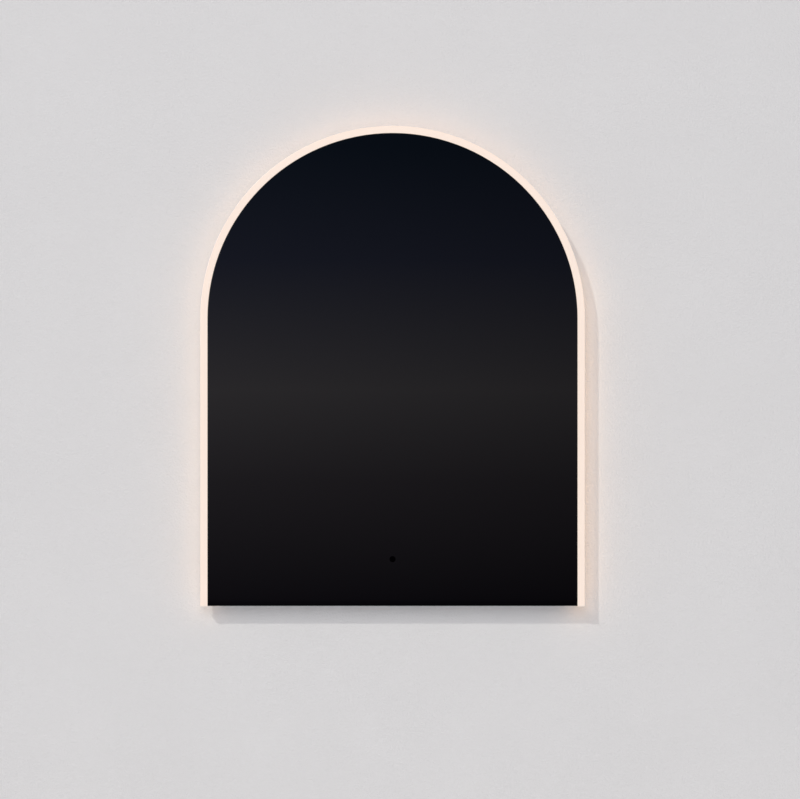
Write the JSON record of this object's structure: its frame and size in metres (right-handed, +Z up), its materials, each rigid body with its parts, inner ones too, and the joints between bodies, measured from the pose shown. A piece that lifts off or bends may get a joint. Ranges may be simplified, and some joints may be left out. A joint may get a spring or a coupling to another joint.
{
  "type": "lighted wall mirror",
  "caption": "Arched wall mirror with a lit opal rim round its arch and sides, on a light frame that hooks over a wall rail and lifts off it.",
  "frame": {"origin": "on the wall plane, midway between the wall rail's two slots, 550 mm above the mirror's lower edge", "axes": "+X to the viewer's right, +Y into the wall, so the mirror faces -Y, +Z up"},
  "size_m": [0.8, 0.04, 0.9999],
  "materials": {
    "mirror": "silvered glass that mirrors a dark room; grey backing paint behind",
    "opal": "opal acrylic, lit warm white",
    "cap": "white moulded plastic",
    "alu": "mill aluminium, drawn",
    "steel": "zinc-plated steel",
    "white_steel": "white powder coat",
    "fastener": "plated steel",
    "tape": "grey acrylic foam",
    "strip": "white flexible circuit",
    "abs_white": "moulded white plastic",
    "abs_grey": "moulded grey plastic",
    "black": "moulded black plastic",
    "film": "heater film",
    "cable_white": "white sheathed lead",
    "rubber": "black rubber"
  },
  "bodies": {
    "wall_rail": {"wall_rail": "steel"},
    "mirror": {"mirror_glass": "mirror", "glass_bond_tape": "tape", "diffuser_rim": "opal", "rim_screws": "fastener", "end_cap_left": "cap", "end_cap_right": "cap", "light_frame": "alu", "bottom_rail": "alu", "corner_bracket_left": "steel", "corner_bracket_right": "steel", "corner_screws": "fastener", "lamp_strip": "strip", "upper_cross_rail": "alu", "hanger_left": "steel", "hanger_right": "steel", "cross_rail_rivets": "fastener", "gear_plate": "white_steel", "gear_plate_screws": "fastener", "driver_case": "abs_white", "driver_lid": "abs_white", "driver_screws": "fastener", "terminal_box": "abs_grey", "terminal_box_lid": "abs_grey", "terminal_block": "abs_white", "box_lid_screws": "fastener", "cable_gland": "black", "gland_nut": "black", "gland_seal": "rubber", "touch_sensor": "black", "sensor_pad": "black", "demister_pad": "film", "demister_joint_cover": "black", "lamp_lead": "cable_white", "sensor_lead": "cable_white", "demister_lead": "cable_white", "mains_jumper": "cable_white", "lead_clips": "black", "lead_grommet": "rubber", "wall_bumpers": "rubber"}
  },
  "joints": [
    {"name": "lift_off", "type": "slide", "parent": "wall_rail", "child": "mirror", "axis": [0, 0, 1], "range_m": [0, 0.014]}
  ]
}
